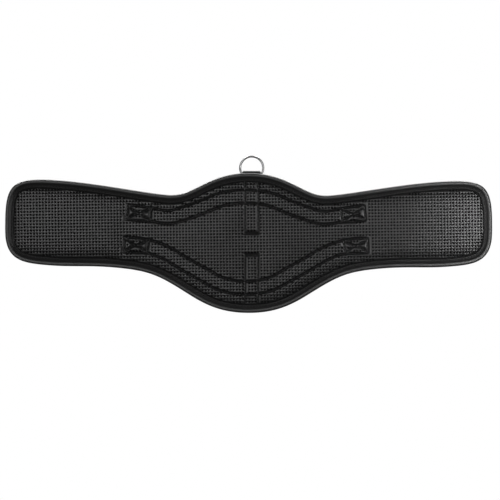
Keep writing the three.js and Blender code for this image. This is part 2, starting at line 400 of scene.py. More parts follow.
def triangulate(rim, lines=(), holes=(), points=()):
    """Triangles inside a rim that keep to its edges, lines and holes.

    The last result maps the number of a point that went in to its number among the points that come out.
    """
    coords, edges = [], []
    open_lines, rings = [(line, False) for line in lines], [(hole, True) for hole in holes]
    for chain, closed in [(rim, True)] + open_lines + rings:
        base, count = len(coords), len(chain)
        coords.extend(Vector((float(x), float(z))) for x, z in chain)
        sides = count if closed else count - 1
        edges.extend((base + i, base + (i + 1) % count) for i in range(sides))
    coords.extend(Vector((float(x), float(z))) for x, z in points)
    made, _, faces, sources, _, _ = delaunay_2d_cdt(coords, edges, [], 0, SAME_POINT)
    made = np.array([tuple(p) for p in made])
    faces = np.array(faces)
    place_of = {source: i for i, listed in enumerate(sources) for source in listed}
    kept = inside(made[faces].mean(axis=1), rim)
    return made, faces[kept], place_of


def lattice(rim, pitch, slant, clear, margin, offset=0.0):
    """A square grid of points inside a rim, each at least a margin from the lines that clear measures."""
    reach = int(np.linalg.norm(rim, axis=1).max() / pitch) + 2
    i, k = np.meshgrid(np.arange(-reach, reach + 1), np.arange(-reach, reach + 1))
    grid = (np.stack([i.ravel(), k.ravel()], axis=1) + offset) * pitch
    turn = np.array([[math.cos(slant), math.sin(slant)], [-math.sin(slant), math.cos(slant)]])
    grid = grid @ turn
    grid = grid[inside(grid, rim)]
    return grid[clear(grid) > margin]


# ---- Shader nodes ----
class Shader:
    """A material that is written as small steps: each step is a node, and its first output is handed on."""

    def __init__(self, name):
        self.material = bpy.data.materials.new(name)
        self.material.use_nodes = True
        self.tree = self.material.node_tree
        self.tree.nodes.clear()
        self.surface = self.tree.nodes.new("ShaderNodeBsdfPrincipled")
        output = self.tree.nodes.new("ShaderNodeOutputMaterial")
        self.tree.links.new(self.surface.outputs[0], output.inputs["Surface"])

    def feed(self, socket, value):
        if isinstance(value, bpy.types.NodeSocket):
            self.tree.links.new(value, socket)
        else:
            socket.default_value = value

    def node(self, kind, inputs=(), output=0, **settings):
        made = self.tree.nodes.new("ShaderNode" + kind)
        for key, value in settings.items():
            setattr(made, key, value)
        for key, value in dict(inputs).items():
            self.feed(made.inputs[key], value)
        return made.outputs[output]

    def math(self, operation, a, b=0.0, c=0.0):
        return self.node("Math", {0: a, 1: b, 2: c}, operation=operation)

    def wave(self, value, pitch):
        """A ridge profile from 0 to 1 that repeats every pitch."""
        return self.math("ABSOLUTE", self.math("SINE", self.math("MULTIPLY", value, math.pi / pitch)))

    def noise(self, vector, scale, detail=2.0):
        return self.node("TexNoise", {"Vector": vector, "Scale": scale, "Detail": detail})

    def between(self, value, low, high):
        """Spreads a 0 to 1 value over a range."""
        return self.node("MapRange", {"Value": value, "To Min": low, "To Max": high})

    def mix(self, share, a, b):
        return self.node("Mix", {"Factor": share, 6: a, 7: b}, output=2, data_type="RGBA")

    def bump(self, height, distance, strength=1.0):
        return self.node("Bump", {"Height": height, "Distance": distance, "Strength": strength})

    def position(self):
        return self.node("TexCoord", output="Object")

    def along(self):
        return self.node("UVMap", uv_map="along")

    def split(self, vector):
        return self.node("SeparateXYZ", {0: vector}).node.outputs

    def finish(self, **sockets):
        for key, value in sockets.items():
            self.feed(self.surface.inputs[key.replace("_", " ")], value)
        return self.material


def grey(value, tint=0.0):
    return (value, value, value * (1 + tint), 1)


def plain_weave(s, u, v, pitch_u, pitch_v):
    """The height of a plain weave over two coordinates: each thread in turn comes to the top."""
    cell_u = cell_number(s, u, pitch_u)
    cell_v = cell_number(s, v, pitch_v)
    odd = s.math("PINGPONG", s.math("ADD", cell_u, cell_v), 1.0)
    warp = s.math("MULTIPLY", s.wave(u, pitch_u), s.math("MULTIPLY_ADD", s.wave(v, pitch_v), 0.5, 0.5))
    weft = s.math("MULTIPLY", s.wave(v, pitch_v), s.math("MULTIPLY_ADD", s.wave(u, pitch_u), 0.5, 0.5))
    return s.node("Mix", {"Factor": odd, 2: warp, 3: weft})


def cell_number(s, value, pitch):
    """Which thread of a weave a place belongs to."""
    return s.math("FLOOR", s.math("DIVIDE", value, pitch))


def neoprene():
    s = Shader("neoprene")
    at = s.position()
    cloudy = s.noise(at, 35.0)
    grain = s.noise(at, 2600.0, 3.0)
    colour = s.mix(cloudy, grey(0.005), grey(0.009, 0.02))
    roughness = s.between(grain, 0.30, 0.44)
    rough = s.bump(grain, 0.00006, 0.6)
    return s.finish(Base_Color=colour, Roughness=roughness, Normal=rough, Specular_IOR_Level=0.5)


def pit_painted_shade():
    s = Shader("pit_painted_shade")
    cells = s.node("TexVoronoi", {"Vector": s.position(), "Scale": 3000.0})
    # Painted shade: the pits' walls and floors are coloured darker than both the neoprene and the core foam,
    # standing in for the shade inside the holes; the cells give them a foam-like grain
    colour = s.mix(cells, grey(0.003), grey(0.006))
    return s.finish(Base_Color=colour, Roughness=0.9, Normal=s.bump(cells, 0.0001), Specular_IOR_Level=0.2)


def core_foam():
    s = Shader("core_foam")
    cells = s.node("TexVoronoi", {"Vector": s.position(), "Scale": 1400.0})
    colour = s.mix(cells, grey(0.02), grey(0.04))
    return s.finish(Base_Color=colour, Roughness=0.92, Normal=s.bump(cells, 0.0002))


def binding_tape():
    s = Shader("binding_tape")
    u, v, _ = s.split(s.along())
    ribs = s.wave(u, 0.9 * MM)
    fibres = s.noise(s.along(), 900.0, 3.0)
    # Painted shade: the colour follows the ribs' relief, darker in the valleys between them and lighter on
    # their crests, times a random fibre tone
    colour = s.mix(s.math("MULTIPLY", ribs, fibres), grey(0.005), grey(0.02))
    height = s.math("MULTIPLY_ADD", fibres, 0.4, ribs)
    return s.finish(
        Base_Color=colour,
        Roughness=s.between(fibres, 0.34, 0.52),
        Normal=s.bump(height, 0.00006, 0.6),
        Specular_IOR_Level=0.6,
        Sheen_Weight=0.06,
        Sheen_Roughness=0.5,
    )


def woven(name, pitch_u, pitch_v, low, high, roughness, relief, along=True):
    """Webbing, shell cloth or elastic: a plain weave with fuzz, slightly uneven colour and painted shade
    that darkens the low places between the threads.
    """
    s = Shader(name)
    if along:
        u, v, _ = s.split(s.along())
    else:
        u, _, v = s.split(s.position())
    weave = plain_weave(s, u, v, pitch_u, pitch_v)
    fuzz = s.noise(s.position(), 1800.0, 3.0)
    patchy = s.noise(s.position(), 60.0)
    # Painted shade: the weave's low places between the threads are coloured darker and its tops lighter,
    # times a patchy random tone
    shade = s.math("MULTIPLY", weave, s.between(patchy, 0.7, 1.0))
    colour = s.mix(shade, grey(low), grey(high, 0.03))
    height = s.math("MULTIPLY_ADD", fuzz, 0.25, weave)
    return s.finish(
        Base_Color=colour,
        Roughness=s.between(fuzz, roughness - 0.1, roughness + 0.1),
        Normal=s.bump(height, relief, 0.9),
        Sheen_Weight=0.12,
        Sheen_Roughness=0.4,
    )


def thread():
    s = Shader("thread")
    u, v, _ = s.split(s.along())
    twist = s.wave(s.math("MULTIPLY_ADD", v, 0.8, u), 0.5 * MM)
    # Painted shade: the colour follows the twist's relief, darker in the grooves between the plies and
    # lighter on their crests
    colour = s.mix(twist, grey(0.003), grey(0.012))
    relief = s.bump(twist, 0.06 * MM)
    return s.finish(Base_Color=colour, Roughness=0.75, Normal=relief, Specular_IOR_Level=0.15)


def steel(name, low, high, roughness, scratch):
    s = Shader(name)
    at = s.position()
    stretched = s.node("Mapping", {"Vector": at, "Scale": (1.0, 9.0, 1.0)})
    lines = s.noise(stretched, 900.0, 4.0)
    smudge = s.noise(at, 90.0, 3.0)
    colour = s.mix(smudge, grey(low), grey(high, 0.02))
    worn = s.math("ADD", s.between(lines, roughness - 0.06, roughness + 0.08), s.between(smudge, 0.0, 0.06))
    return s.finish(Base_Color=colour, Metallic=1.0, Roughness=worn, Normal=s.bump(lines, scratch, 0.5))


NEOPRENE = neoprene()
PIT_PAINTED_SHADE = pit_painted_shade()
CORE_FOAM = core_foam()
BINDING_TAPE = binding_tape()
THREAD = thread()
SHELL_CLOTH = woven("shell_cloth", 0.9 * MM, 0.9 * MM, 0.008, 0.026, 0.6, 0.00012, along=False)
WEBBING = woven("webbing", 1.5 * MM, 1.05 * MM, 0.008, 0.03, 0.55, 0.00022)
ELASTIC = woven("elastic", 0.8 * MM, 0.62 * MM, 0.01, 0.034, 0.6, 0.00012)
RING_STEEL = steel("ring_steel", 0.28, 0.4, 0.28, 0.00001)
BUCKLE_STEEL = steel("buckle_steel", 0.46, 0.58, 0.28, 0.00001)
ROLLER_STEEL = steel("roller_steel", 0.5, 0.62, 0.24, 0.00001)


# ---- Lines of the girth, from the frame ----
shell_loop = counter_clockwise(cap_loop("outer_shell", 1, np.max))
BINDING_PAST_SHELL = size_between("edge_binding", "outer_shell")
RIM = shifted(curve_through(shell_loop, 2 * MM, closed=True), -BINDING_PAST_SHELL, True)


def strap_line(node):
    """The middle of a long strap, in x and z."""
    loop = cap_loop(node, 1, np.max)
    longest = np.argmax(np.linalg.norm(np.roll(loop, -1, axis=0) - loop, axis=1))
    return curve_through(middle_line(loop, longest + 1), SEAM_STEP)


def centre_strap_line():
    """The centre strap's side view, in y and z, from its sewn end at the bottom to its tucked end."""
    loop = cap_loop("centre_strap", 0, np.max)
    low = np.flatnonzero(np.abs(loop[:, 1] - loop[:, 1].min()) < 1e-6)
    first = low[1] if low[1] - low[0] == 1 else low[0]
    return middle_line(loop, first)


FRONT_LINE = strap_line("front_strap")
REAR_LINE = strap_line("rear_strap")
CENTRE_X = (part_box("centre_strap")[0].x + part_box("centre_strap")[1].x) / 2


def strap_rows(line):
    """The two rows of stitches along a strap, a little wider apart in the box at each end."""
    along = lengths_along(line)
    end = np.minimum(along, along[-1] - along)
    kept = end >= BOX_MARGIN
    flare = BOX_FLARE * (1 - smooth_step(end, 0.5 * BOX_LENGTH, 1.2 * BOX_LENGTH))
    return [shifted(line, side * (ROW_OFFSET + flare))[kept] for side in (1, -1)]


def box_stitch(line):
    """The cross rows and the bowed diagonals of the box at the start of a strap."""
    along = lengths_along(line)
    way = tangents(line)
    half = ROW_OFFSET + BOX_FLARE

    def at(distance, side):
        x, z = read_at(way, along, distance)
        return read_at(line, along, distance) + side * np.array([-z, x])

    start, end = BOX_MARGIN, BOX_MARGIN + BOX_LENGTH
    rows = [[at(d, s) for s in np.linspace(-half, half, 13)] for d in (start, end)]
    steps = np.linspace(-1, 1, 23)
    bow = np.sign(steps) * np.abs(steps) ** BOX_BOW
    middle = (start + end) / 2
    for side in (1, -1):
        rows.append([at(middle + u * BOX_LENGTH / 2, side * half * b) for u, b in zip(steps, bow)])
    return [np.array(row) for row in rows]


def straight(start, end):
    return spaced(np.array([start, end]), SEAM_STEP)


def centre_rows():
    """The centre strap's rows of stitches, above and below its open loop."""
    top, bottom = RIM[:, 1].max() - LINER_TUCK, RIM[:, 1].min() + LINER_TUCK
    rows = []
    for side in (1, -1):
        x = CENTRE_X + side * ROW_OFFSET
        rows.append(straight([x, top - 1 * MM], [x, LOOP_TOP]))
        rows.append(straight([x, LOOP_BOTTOM], [x, bottom + 1 * MM]))
    return rows


def bar_tacks():
    """Close cross rows that end the stitching above and below the open loop."""
    reach = ROW_OFFSET + 0.6 * MM
    heights = [level + k * MM for level in (LOOP_TOP, LOOP_BOTTOM) for k in (-0.9, 0.0, 0.9)]
    return [straight([CENTRE_X - reach, z], [CENTRE_X + reach, z]) for z in heights]


STRAP_ROWS = strap_rows(FRONT_LINE) + strap_rows(REAR_LINE)
BOXES = [box_stitch(way) for line in (FRONT_LINE, REAR_LINE) for way in (line, line[::-1])]
BOX_ROWS = [row for box in BOXES for row in box]
CENTRE_ROWS = centre_rows()
BAR_TACKS = bar_tacks()
SEAMS = STRAP_ROWS + BOX_ROWS + CENTRE_ROWS + BAR_TACKS
near_seam = Nearness(SEAMS)
near_box = Nearness(BOX_ROWS)
near_box_end = Nearness([box[0] for box in BOXES])
near_rim = Nearness([looped(RIM)])


def inner_rim(inset, step):
    """The outline moved in from the girth's rim, evenly spaced."""
    return spaced(shifted(RIM, inset, True), step, closed=True)


# ---- Strap ends: where each buckle is and which way it points ----
def end_matrix(name):
    """From a strap end's own axes, with x outwards, y away from the pad and the heel bar at the origin."""
    x = Vector(joint(name + "_stretch")["axis"])
    z = Vector(joint(name + "_buckle_hinge")["axis"])
    y = z.cross(x)
    made = Matrix.Translation(joint_place(name + "_buckle_hinge"))
    return made @ Matrix((x, y, z)).transposed().to_4x4()


BUCKLE_LENGTH = (joint_place("left_front_roller_spin") - joint_place("left_front_buckle_hinge")).length
BUCKLE_REACH = BUCKLE_LENGTH + joint("left_front_stretch")["range_m"][1] + 5 * MM


def flat_zone(points):
    """0 where straps and buckles lie on the outer face, 1 well away from them."""
    bottom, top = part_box("centre_strap")
    webs = [FRONT_LINE, REAR_LINE, np.array([[CENTRE_X, bottom.z], [CENTRE_X, top.z]])]
    free = smooth_step(Nearness(webs, 1 * MM)(points), 13.5 * MM, 22 * MM)
    ends = []
    for name in STRAP_END_NAMES:
        matrix = end_matrix(name)
        sewn, tip = matrix @ Vector((-BAR_TO_BOX, 0, 0)), matrix @ Vector((BUCKLE_REACH, 0, 0))
        ends.append(np.array([[sewn.x, sewn.z], [tip.x, tip.z]]))
    return free * smooth_step(Nearness(ends, 1 * MM)(points), 18.5 * MM, 27 * MM)


# ---- The quilted pad, blown up as cloth between its seams ----
def pad_cloth():
    """Both faces, as BVH trees, of a closed pad of coarse triangles, inflated with its seams pinned."""
    rim = inner_rim(LINER_TUCK, CLOTH_STEP)
    lines = [spaced(line, CLOTH_STEP) for line in SEAMS]
    fill = lattice(rim, 4.6 * MM, math.radians(23), Nearness(SEAMS + [looped(rim)]), 2.2 * MM)
    flat, faces, _ = triangulate(rim, lines, points=fill)
    count = len(flat)
    sewn = (near_seam(flat) < 0.4 * MM) | (Nearness([looped(rim)])(flat) < 0.4 * MM)
    front, back = lift(flat, SEAM_LEVEL), lift(flat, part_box("outer_shell")[1].y)
    front[~sewn, 1] -= 0.3 * MM
    sides = [pair for a, b, c in faces for pair in ((a, b), (b, c), (c, a))]
    known = set(sides)
    border = [(a, b) for a, b in sides if (b, a) not in known]
    skin = [tuple(f) for f in faces] + [tuple(count + v for v in reversed(f)) for f in faces]
    skin += [(b, a, a + count, b + count) for a, b in border]
    obj = mesh_object("pad_cloth", np.vstack([front, back]), skin, NEOPRENE)
    held = np.concatenate([sewn, sewn | (flat_zone(flat) < 0.5)])
    blow_up(obj, np.flatnonzero(held).tolist())
    made = [tuple(v.co) for v in obj.data.vertices]
    sheets = skin[: len(faces)], skin[len(faces) : 2 * len(faces)]
    trees = [BVHTree.FromPolygons(made, sheet, all_triangles=True) for sheet in sheets]
    bpy.data.objects.remove(obj)
    return trees


def blow_up(obj, held, pressure=9.0, frames=18):
    """Runs cloth on a closed mesh under inner pressure, with some vertices held, and keeps the result."""
    group = obj.vertex_groups.new(name="held")
    group.add(held, 1.0, "REPLACE")
    cloth = obj.modifiers.new("cloth", "CLOTH")
    settings = cloth.settings
    settings.quality = 5
    settings.mass = 0.15
    settings.tension_stiffness = 18
    settings.compression_stiffness = 18
    settings.shear_stiffness = 8
    settings.bending_stiffness = 6
    settings.vertex_group_mass = "held"
    settings.use_pressure = True
    settings.uniform_pressure_force = pressure
    settings.shrink_min = 0.0
    settings.effector_weights.gravity = 0
    cloth.collision_settings.use_collision = False
    cloth.point_cache.frame_start = 1
    cloth.point_cache.frame_end = frames
    scene = bpy.context.scene
    for number in range(1, frames + 1):
        scene.frame_set(number)
    shape = obj.evaluated_get(bpy.context.evaluated_depsgraph_get()).to_mesh()
    moved = np.zeros(len(shape.vertices) * 3, np.float32)
    shape.vertices.foreach_get("co", moved)
    obj.modifiers.clear()
    obj.data.vertices.foreach_set("co", moved)
    scene.frame_set(1)


FRONT_TREE, BACK_TREE = pad_cloth()


def ray_heights(tree, points, way, missing):
    """How far out the blown-up face lies at each point of the plane, as its y."""
    start = -0.2 if way > 0 else 0.2
    found = []
    for x, z in points:
        hit = tree.ray_cast(Vector((x, start, z)), Vector((0, way, 0)))[0]
        found.append(missing if hit is None else hit.y)
    return np.array(found)


def front_y(points):
    """The liner's outer face."""
    rise = SEAM_LEVEL - ray_heights(FRONT_TREE, points, 1, SEAM_LEVEL)
    puff = PUFF_FRONT * (1 - np.exp(-np.maximum(rise, 0) / PUFF_FRONT))
    reach = near_seam(points)
    groove = GROOVE_DEPTH * np.clip(1 - reach / GROOVE_WIDTH, 0, 1)
    groove += PILLOW_DEPTH * (np.exp(-((reach / PILLOW_WIDTH) ** 2)) - 0.45)
    past_rim = near_rim(points) - LINER_TUCK
    roll = ROLL_RISE * (1 - np.clip(1 - past_rim / ROLL_WIDTH, 0, 1) ** 2)
    dip = TUCK_DIP * (1 - smooth_step(past_rim, 0, TUCK_WIDTH))
    return SEAM_LEVEL - roll - puff + np.maximum(groove, dip)


def liner_back_y(points):
    return np.minimum(front_y(points) + LINER_THICKNESS, LINER_BACK)


def back_y(points):
    """The shell's outer face, which stays flat under the straps and buckles."""
    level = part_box("outer_shell")[1].y
    rise = ray_heights(BACK_TREE, points, -1, level) - level
    puff = PUFF_BACK * (1 - np.exp(-np.maximum(rise, 0) / PUFF_BACK))
    return level + puff * flat_zone(points)


def rim_wall(first, second):
    """Quads between two closed runs of point numbers."""
    return [(a, b, d, c) for a, b, c, d in zip(first, np.roll(first, -1), second, np.roll(second, -1))]


def filled(rim, pitch, slant, margin):
    """Triangles over a rim, with a lattice of points inside it."""
    return triangulate(rim, points=lattice(rim, pitch, slant, Nearness([looped(rim)]), margin))


def two_faced(name, rim, outer, outer_faces, outer_places, inner_height, material):
    """Closes a panel: its outer face, a plainer inner face at a height, and the wall round its rim."""
    flat, faces, places = filled(rim, 9 * MM, 0.3, 3 * MM)
    start = len(outer)
    skin = list(outer_faces) + [[start + v for v in reversed(face)] for face in faces]
    numbers = range(len(rim))
    skin += rim_wall([outer_places[i] for i in numbers], [start + places[i] for i in numbers])
    return mesh_object(name, np.vstack([outer, lift(flat, inner_height(flat))]), skin, material)


# ---- Liner ----
def hole_centres(rim):
    """The perforations' places: a square grid that keeps off the rim, the seams and the box stitches."""
    centres = lattice(rim, HOLE_PITCH, HOLE_SLANT, near_seam, HOLE_RADIUS + HOLE_MARGIN)
    centres = centres[Nearness([looped(rim)])(centres) > HOLE_RADIUS + HOLE_MARGIN]
    centres = centres[near_box(centres) > HOLE_RADIUS + BOX_HOLE_MARGIN]
    return centres[near_box_end(centres) > HOLE_RADIUS + BOX_END_HOLE_MARGIN]


def points_between_holes(rim, centres):
    """Points for the cloth's own shape: one between every four holes, and rails beside seams and rim."""
    between = lattice(rim, HOLE_PITCH, HOLE_SLANT, near_seam, 1.8 * MM, offset=0.5)
    between = between[Nearness([looped(rim)])(between) > 0.9 * MM]
    rails = [shifted(line, side * gap) for line in SEAMS for side in (1, -1) for gap in SEAM_RAILS]
    rails = np.vstack(rails + [shifted(rim, gap, True) for gap in RIM_RAILS])
    off_holes = Nearness([centre[None] for centre in centres], 1)(rails) > HOLE_RADIUS + 0.12 * MM
    rails = rails[(near_seam(rails) > 0.5 * MM) & off_holes]
    return np.vstack([between, rails[inside(rails, rim)]])


def liner():
    """The perforated liner: a puffed face whose holes are real pits, closed at the back."""
    rim = inner_rim(LINER_TUCK, 2.4 * MM)
    centres = hole_centres(rim)
    ring = circle(1, HOLE_SIDES, first=0.5)
    holes = [centre + HOLE_RADIUS * ring for centre in centres]
    seams = [spaced(seam, SEAM_STEP) for seam in SEAMS]
    flat, faces, place_of = triangulate(rim, seams, holes, points_between_holes(rim, centres))
    first_hole = len(rim) + sum(len(seam) for seam in seams)
    hole_of = np.full(len(flat), -1)
    rims = []
    for k in range(len(holes)):
        places = [place_of[first_hole + k * HOLE_SIDES + i] for i in range(HOLE_SIDES)]
        hole_of[places] = k
        rims.append(places)
    owner = hole_of[faces]
    solid = ~((owner[:, 0] >= 0) & (owner[:, 0] == owner[:, 1]) & (owner[:, 1] == owner[:, 2]))
    surface = lift(flat, front_y(flat))
    holed = hole_of >= 0
    surface[holed, 1] += HOLE_SINK * smooth_step(near_seam(flat[holed]), 1 * MM, 3 * MM)
    skin = list(faces[solid])
    points, pits = [surface], []
    start = len(surface)
    for centre, places in zip(centres, rims):
        floor = centre + HOLE_FLOOR_RADIUS * ring
        depth = min(surface[places, 1].mean() + HOLE_DEPTH, LINER_BACK - 0.1 * MM)
        points.append(lift(floor, depth))
        bottom = list(range(start, start + HOLE_SIDES))
        pits += rim_wall(places, bottom) + [tuple(bottom)]
        start += HOLE_SIDES
    made = two_faced("liner_quilt", rim, np.vstack(points), skin + pits, place_of, liner_back_y, NEOPRENE)
    # The pits' walls and floors take the material with painted shade in it
    made.data.materials.append(PIT_PAINTED_SHADE)
    in_pit = np.arange(len(made.data.polygons)) - len(skin)
    in_pit = (in_pit >= 0) & (in_pit < len(pits))
    made.data.polygons.foreach_set("material_index", in_pit.astype(int))
    sharp = {tuple(sorted(pair)) for places in rims for pair in zip(places, places[1:] + places[:1])}
    marks = made.data.attributes.new("sharp_edge", "BOOLEAN", "EDGE")
    marks.data.foreach_set("value", [tuple(sorted(e.vertices)) in sharp for e in made.data.edges])
    settle(made, BODY, "liner_panel")


# ---- Shell and foam ----
def shell():
    """The outer cloth, puffed where nothing lies on it."""
    rim = inner_rim(BINDING_PAST_SHELL, 3 * MM)
    flat, faces, places = filled(rim, 3.4 * MM, 0.2, 1.5 * MM)
    outer, inner = lift(flat, back_y(flat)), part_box("outer_shell")[0].y
    made = two_faced("shell_cover", rim, outer, faces, places, lambda points: inner, SHELL_CLOTH)
    settle(made, BODY, "outer_shell")


def foam():
    """The core, which fills the liner's puff and steps back at the rim to let the binding in."""
    low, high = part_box("foam_core")
    rim = inner_rim(size_between("edge_binding", "foam_core"), 4 * MM)
    flat, faces, places = filled(rim, 5 * MM, 0.2, 2 * MM)
    tucked = smooth_step(near_rim(flat), 12 * MM, 16 * MM)
    room = np.clip(low.y - front_y(flat) - LINER_THICKNESS - 0.3 * MM, 0, None)
    face = low.y + 0.15 * MM - tucked * room
    made = two_faced("foam_pad", rim, lift(flat, face), faces, places, lambda points: high.y, CORE_FOAM)
    settle(made, BODY, "foam_core")


# ---- Edge binding ----
# Its section in millimetres, as (how far in from the rim, its Y), first outside and then inside.
BINDING_SKIN = [
    (12.0, 3.3), (11.7, 2.95), (11.2, 2.5), (10.6, 2.15), (9.9, 1.9), (9.1, 1.72), (8.2, 1.35), (7.2, 0.8),
    (6.3, 0.1), (5.6, -0.5), (5.0, -0.85), (4.3, -1.0), (3.4, -1.1), (2.5, -1.13), (1.8, -1.05), (1.2, -0.8),
    (0.7, -0.25), (0.3, 0.8), (0.1, 2.4), (0.0, 4.0), (0.0, 6.6), (0.15, 8.4), (0.6, 10.0), (1.4, 11.3),
    (2.5, 12.0), (3.6, 12.0), (4.6, 11.7), (5.6, 11.25), (6.5, 10.95), (7.2, 10.8), (7.8, 10.5), (7.9, 9.95),
]
BINDING_LINING = [
    (6.6, 9.9), (2.0, 9.9), (1.3, 9.0), (1.25, 5.6), (1.3, 2.9), (2.0, 2.6), (8.0, 2.9), (11.0, 3.2),
]
BINDING_MIDDLE = 5.6 * MM


def binding():
    """A soft rolled tape: the section puckers a little from stitch to stitch."""
    along = lengths_along(looped(RIM))
    stitches = round(along[-1] / STITCH_PITCH)
    pucker = 0.09 * MM * np.sin(2 * np.pi * stitches * along[:-1] / along[-1])
    slow = 0.12 * MM * np.sin(2 * np.pi * 17 * along[:-1] / along[-1] + 1.0)
    section = [(depth * MM, y * MM) for depth, y in BINDING_SKIN + BINDING_LINING]
    rows = []
    for number, (depth, y) in enumerate(section):
        skin = number < len(BINDING_SKIN)
        swell = math.sin(math.pi * min(1, depth / BINDING_WIDTH)) if skin else 0
        out = -1 if y < BINDING_MIDDLE else 1
        flat = shifted(RIM, depth, True)
        rows.append(lift(flat, y + out * swell * (pucker + slow)))
    made = skinned("binding_roll", sweep(np.stack(rows, axis=1), closed=True), BINDING_TAPE)
    settle(made, BODY, "edge_binding")


# ---- Stitches ----
# Each section's share of the way along, its height and its girth, both in thread radii.
STITCH_SHAPE = [
    (0.0, -0.55, 0.55), (0.14, 0.25, 0.95), (0.5, 0.55, 1.0), (0.86, 0.25, 0.95), (1.0, -0.55, 0.55),
]


def stitch(start, end, up):
    """One stitch: a short fat thread that dives into the cloth at both ends."""
    way = end - start
    length = np.linalg.norm(way)
    side = np.cross(way / length, up)
    grid = []
    for share, height, girth in STITCH_SHAPE:
        spot = start + way * share + up * height * THREAD_RADIUS
        grid.append([spot + across * side + out * up for across, out in circle(THREAD_RADIUS * girth, 6)])
    return sweep(np.array(grid))


def stitch_rows(name, rows, up, body, pitch=STITCH_PITCH, length=STITCH_LENGTH):
    """Rows of stitches along 3-D lines that lie on a surface."""
    parts = []
    for row in rows:
        along = lengths_along(row)
        count = max(1, round(along[-1] / pitch))
        gap = along[-1] / count
        for k in range(count):
            middle = (k + 0.5) * gap
            ends = read_at(row, along, [middle - length / 2, middle + length / 2])
            parts.append(stitch(*ends, up))
    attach(skinned(name, merged(parts), THREAD), body)


def bar_tack_rows(name, rows, up):
    """Rows of short close stitches."""
    stitch_rows(name, rows, up, BODY, TACK_PITCH, TACK_LENGTH)


def front_stitches():
    rows = [lift(row, front_y(row)) for row in STRAP_ROWS + BOX_ROWS + CENTRE_ROWS]
    stitch_rows("liner_stitches", rows, IN, BODY)
    bar_tack_rows("liner_bar_tacks", [lift(row, front_y(row)) for row in BAR_TACKS], IN)


def binding_stitches():
    for face, inset, level, up in (("front", 9.2, 1.7, IN), ("back", 6.7, 10.95, OUT)):
        line = looped(shifted(RIM, inset * MM, True))
        stitch_rows("binding_stitches_" + face, [lift(line, level * MM)], up, BODY)


# ---- Straps on the outer face ----
def long_strap(node, line):
    """A strap that lies on the shell, with its two rows of stitches."""
    low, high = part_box(node)
    path = lift(line, (low.y + high.y) / 2)
    way = tangents(line)
    across = lift(np.stack([-way[:, 1], way[:, 0]], axis=1), 0)
    section = flat_section(WEBBING_WIDTH, high.y - low.y, 0.9 * MM)
    settle(skinned(node + "_web", strip(path, across, section), WEBBING), BODY, node)
    rows = [lift(row, high.y) for row in strap_rows(line)]
    stitch_rows(node + "_stitches", rows, OUT, BODY)


def centre_strap():
    """The middle strap, which crosses the others, bows into the open loop and folds round the ring."""
    side_view = softened(centre_strap_line(), 0.8 * MM, 3)
    path = np.insert(side_view, 0, CENTRE_X, axis=1)
    section = flat_section(WEBBING_WIDTH, CENTRE_STRAP_THICKNESS, 0.7 * MM)
    made = skinned("centre_strap_web", strip(path, ALONG, section), WEBBING)
    settle(made, BODY, "centre_strap")
    outer = path[: np.argmax(path[:, 2])]
    face = outer - np.cross(ALONG, tangents(outer)) * CENTRE_STRAP_THICKNESS / 2
    end = face[:, 2].min() + 2 * MM
    rows = []
    for low, high in ((end, LOOP_BOTTOM), (LOOP_TOP, RIM[:, 1].max() - 6 * MM)):
        part = face[(face[:, 2] >= low) & (face[:, 2] <= high)]
        rows += [part + [side * ROW_OFFSET, 0, 0] for side in (1, -1)]
    stitch_rows("centre_strap_stitches", rows, OUT, BODY)
    tacks = []
    for z in (end, *[level + k * MM for level in (LOOP_BOTTOM, LOOP_TOP) for k in (-0.8, 0.8)]):
        y = np.interp(z, face[:, 2], face[:, 1])
        tacks.append(np.array([[CENTRE_X - ROW_OFFSET, y, z], [CENTRE_X + ROW_OFFSET, y, z]]))
    bar_tack_rows("centre_strap_bar_tacks", tacks, OUT)


# ---- Dee ring ----
def dee_ring():
    """A round wire bent to a bow on a straight bar, as thick as the CAD's eight-sided wire is at most."""
    low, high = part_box("dee_ring")
    bar = joint_place("dee_ring_swing")
    flat = (high.y - low.y) / 2
    wire = flat / math.cos(math.pi / 8)
    outer = (high.x - low.x) / 2
    radius = outer - flat
    rise = high.z - outer - bar.z
    corner = RING_CORNER
    reach = math.sqrt((radius - corner) ** 2 - (rise - corner) ** 2)
    side = math.degrees(math.atan2(corner - rise, reach))
    loop = np.vstack([
        arc(reach, corner, corner, -90, side, 10)[:-1],
        arc(0, rise, radius, side, 180 - side, 72)[:-1],
        arc(-reach, corner, corner, 180 - side, 270, 10),
        np.stack([np.linspace(-reach, reach, 18)[1:-1], np.zeros(16)], axis=1),
    ])
    path = lift(loop, 0) + bar
    made = skinned("dee_ring_wire", closed_tube(path, OUT, circle(wire, 20)), RING_STEEL)
    settle(made, "dee_ring", "dee_ring")


# ---- Strap ends ----
def elastic(name, matrix):
    """Ribbed elastic, sewn at one end and running to the buckle at the other."""
    path = np.linspace(-BAR_TO_BOX - 17 * MM, -18 * MM, 60)[:, None] * ALONG
    section = flat_section(WEBBING_WIDTH, 1.65 * MM, 0.6 * MM, across=6, rib=0.09 * MM, ribs=9)
    made = skinned(name + "_elastic_web", strip(path, ACROSS, section), ELASTIC, matrix)
    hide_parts(name + "_elastic")
    return made


